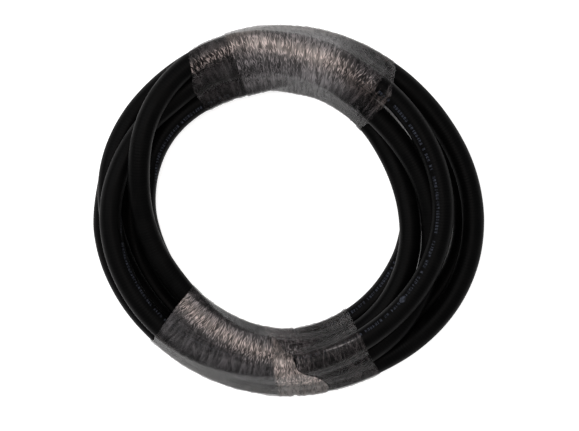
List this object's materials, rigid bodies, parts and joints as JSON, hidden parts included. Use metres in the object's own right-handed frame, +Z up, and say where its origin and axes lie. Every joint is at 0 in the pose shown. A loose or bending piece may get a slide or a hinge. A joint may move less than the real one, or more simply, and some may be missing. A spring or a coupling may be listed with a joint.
{
  "type": "hose coil",
  "caption": "Coil of plain black rubber hose lying flat, with bare cut ends tucked under the bundle, held by two wraps of clear stretch film.",
  "frame": {"origin": "middle of the coil on its resting plane", "axes": "+Z up along the coil's axis, +X towards the span where the hose's inner end lies, +Y towards the upper film wrap"},
  "size_m": [0.3396, 0.3225, 0.0751],
  "materials": {
    "cover_rubber": "satin, fine cloth-wrapped ribs",
    "braid_yarn": "woven",
    "liner_rubber": "smooth",
    "stretch_film": "clear, creased"
  },
  "bodies": {
    "root": {"hose_cover": "cover_rubber", "hose_braid": "braid_yarn", "hose_liner": "liner_rubber", "outer_end_cover": "cover_rubber", "outer_end_braid": "braid_yarn", "outer_end_liner": "liner_rubber", "inner_end_cover": "cover_rubber", "inner_end_braid": "braid_yarn", "inner_end_liner": "liner_rubber", "upper_wrap_under": "stretch_film", "upper_wrap_over": "stretch_film", "lower_wrap_right": "stretch_film", "lower_wrap_left": "stretch_film"}
  },
  "joints": []
}
